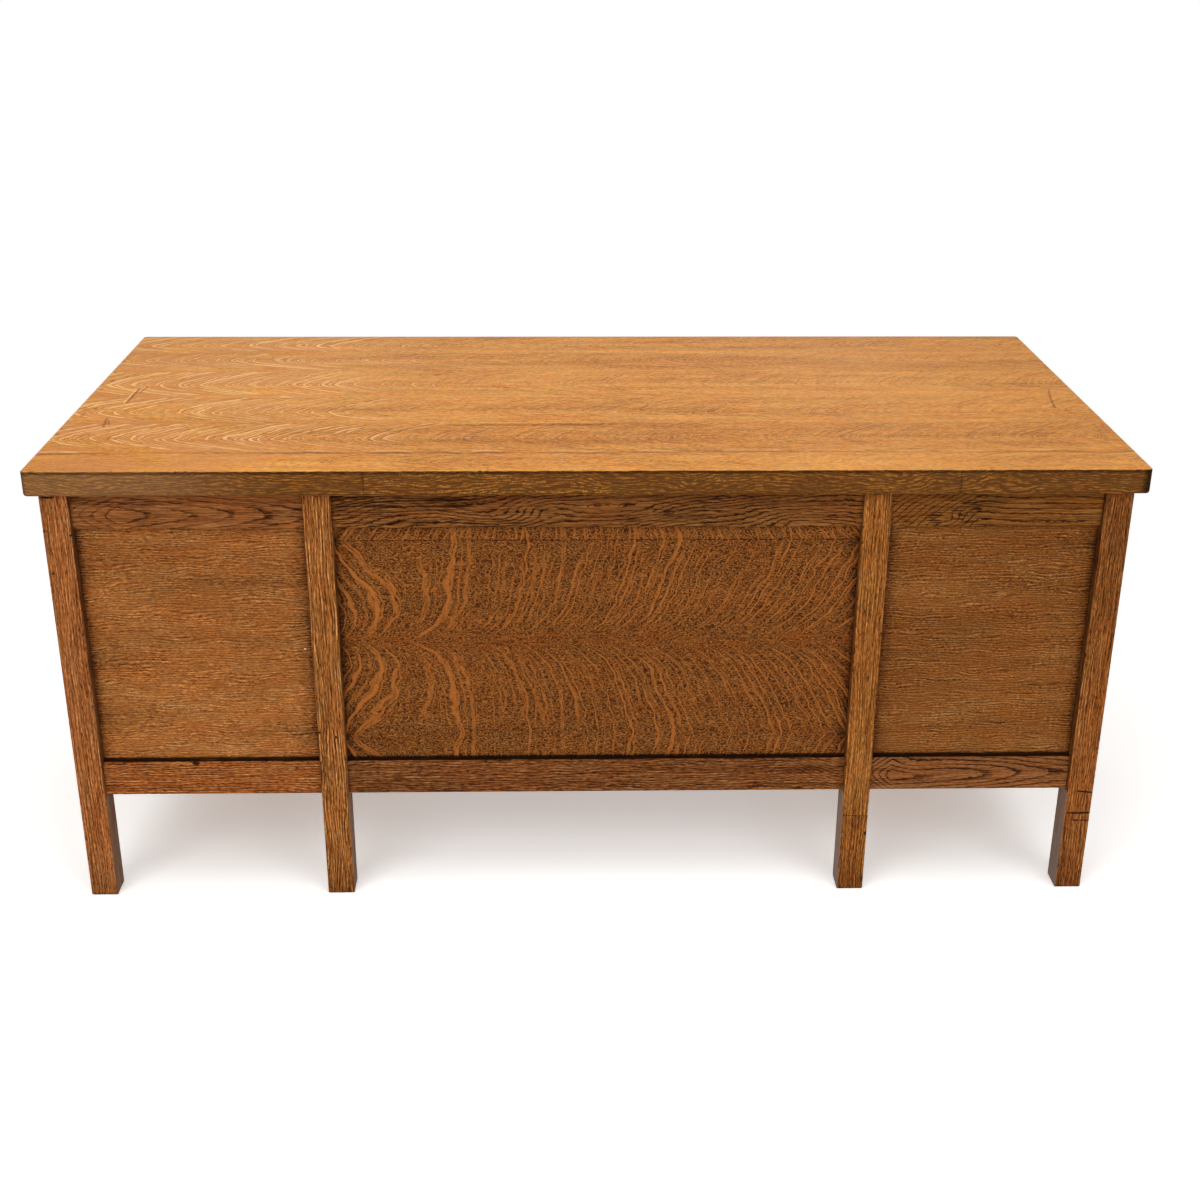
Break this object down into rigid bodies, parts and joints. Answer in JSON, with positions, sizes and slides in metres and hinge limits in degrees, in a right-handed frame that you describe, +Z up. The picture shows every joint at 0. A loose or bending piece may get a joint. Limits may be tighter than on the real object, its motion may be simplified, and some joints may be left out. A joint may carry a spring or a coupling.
{
  "type": "pedestal desk",
  "caption": "Oak twin-pedestal desk with a thick overhanging top, framed panel back, square posts to the floor, drawers, writing slides and an open kneehole.",
  "frame": {"origin": "on the floor, under the centre of the top", "axes": "+Z up, +X along the desk's length, -Y out of the panelled back, +Y out of the drawer side"},
  "size_m": [1.753, 0.838, 0.775],
  "materials": {
    "oak_top": "waxed quartersawn oak, golden",
    "oak_post": "waxed oak, mid brown",
    "oak_rail": "waxed flat-sawn oak, mid brown",
    "oak_panel": "waxed quartersawn oak veneer",
    "oak_drawer_front": "waxed oak, mid brown",
    "oak_knob": "waxed turned oak",
    "oak_slide": "waxed oak",
    "drawer_lining": "bare planed timber",
    "runner_wood": "bare planed timber",
    "screw_steel": "dull steel"
  },
  "bodies": {
    "carcass": {"back_bottom_rail_centre": "oak_rail", "back_bottom_rail_left": "oak_rail", "back_bottom_rail_right": "oak_rail", "back_panel_centre": "oak_panel", "back_panel_left": "oak_panel", "back_panel_right": "oak_panel", "back_post_left_inner": "oak_post", "back_post_left_outer": "oak_post", "back_post_right_inner": "oak_post", "back_post_right_outer": "oak_post", "back_top_rail_centre": "oak_rail", "back_top_rail_left": "oak_rail", "back_top_rail_right": "oak_rail", "drawer_and_slide_stops": "runner_wood", "front_post_left_inner": "oak_post", "front_post_left_outer": "oak_post", "front_post_right_inner": "oak_post", "front_post_right_outer": "oak_post", "kneehole_drawer_rail": "oak_rail", "kneehole_runners": "runner_wood", "kneehole_top_rail": "oak_rail", "left_end_bottom_rail": "oak_rail", "left_end_panel": "oak_panel", "left_end_top_rail": "oak_rail", "left_front_rails": "oak_rail", "left_kneehole_bottom_rail": "oak_rail", "left_kneehole_panel": "oak_panel", "left_kneehole_top_rail": "oak_rail", "left_runners": "runner_wood", "right_end_bottom_rail": "oak_rail", "right_end_panel": "oak_panel", "right_end_top_rail": "oak_rail", "right_front_rails": "oak_rail", "right_kneehole_bottom_rail": "oak_rail", "right_kneehole_panel": "oak_panel", "right_kneehole_top_rail": "oak_rail", "right_runners": "runner_wood", "top_boards": "oak_top", "top_buttons": "runner_wood", "top_screws": "screw_steel"},
    "left_lower_drawer": {"left_lower_drawer_box": "drawer_lining", "left_lower_drawer_front": "oak_drawer_front", "left_lower_drawer_knob": "oak_knob"},
    "left_middle_drawer": {"left_middle_drawer_box": "drawer_lining", "left_middle_drawer_front": "oak_drawer_front", "left_middle_drawer_knob": "oak_knob"},
    "left_upper_drawer": {"left_upper_drawer_box": "drawer_lining", "left_upper_drawer_front": "oak_drawer_front", "left_upper_drawer_knob": "oak_knob"},
    "right_file_drawer": {"right_file_drawer_box": "drawer_lining", "right_file_drawer_front": "oak_drawer_front", "right_file_drawer_knob": "oak_knob"},
    "right_upper_drawer": {"right_upper_drawer_box": "drawer_lining", "right_upper_drawer_front": "oak_drawer_front", "right_upper_drawer_knob": "oak_knob"},
    "kneehole_drawer": {"kneehole_drawer_box": "drawer_lining", "kneehole_drawer_front": "oak_drawer_front", "kneehole_drawer_knobs": "oak_knob"},
    "left_slide": {"left_writing_slide": "oak_slide"},
    "right_slide": {"right_writing_slide": "oak_slide"}
  },
  "joints": [
    {"name": "left_lower_drawer_travel", "type": "slide", "parent": "carcass", "child": "left_lower_drawer", "axis": [0, 1, 0], "range_m": [0, 0.45]},
    {"name": "left_middle_drawer_travel", "type": "slide", "parent": "carcass", "child": "left_middle_drawer", "axis": [0, 1, 0], "range_m": [0, 0.45]},
    {"name": "left_upper_drawer_travel", "type": "slide", "parent": "carcass", "child": "left_upper_drawer", "axis": [0, 1, 0], "range_m": [0, 0.45]},
    {"name": "right_file_drawer_travel", "type": "slide", "parent": "carcass", "child": "right_file_drawer", "axis": [0, 1, 0], "range_m": [0, 0.48]},
    {"name": "right_upper_drawer_travel", "type": "slide", "parent": "carcass", "child": "right_upper_drawer", "axis": [0, 1, 0], "range_m": [0, 0.45]},
    {"name": "kneehole_drawer_travel", "type": "slide", "parent": "carcass", "child": "kneehole_drawer", "axis": [0, 1, 0], "range_m": [0, 0.38]},
    {"name": "left_slide_travel", "type": "slide", "parent": "carcass", "child": "left_slide", "axis": [0, 1, 0], "range_m": [0, 0.3]},
    {"name": "right_slide_travel", "type": "slide", "parent": "carcass", "child": "right_slide", "axis": [0, 1, 0], "range_m": [0, 0.3]}
  ]
}
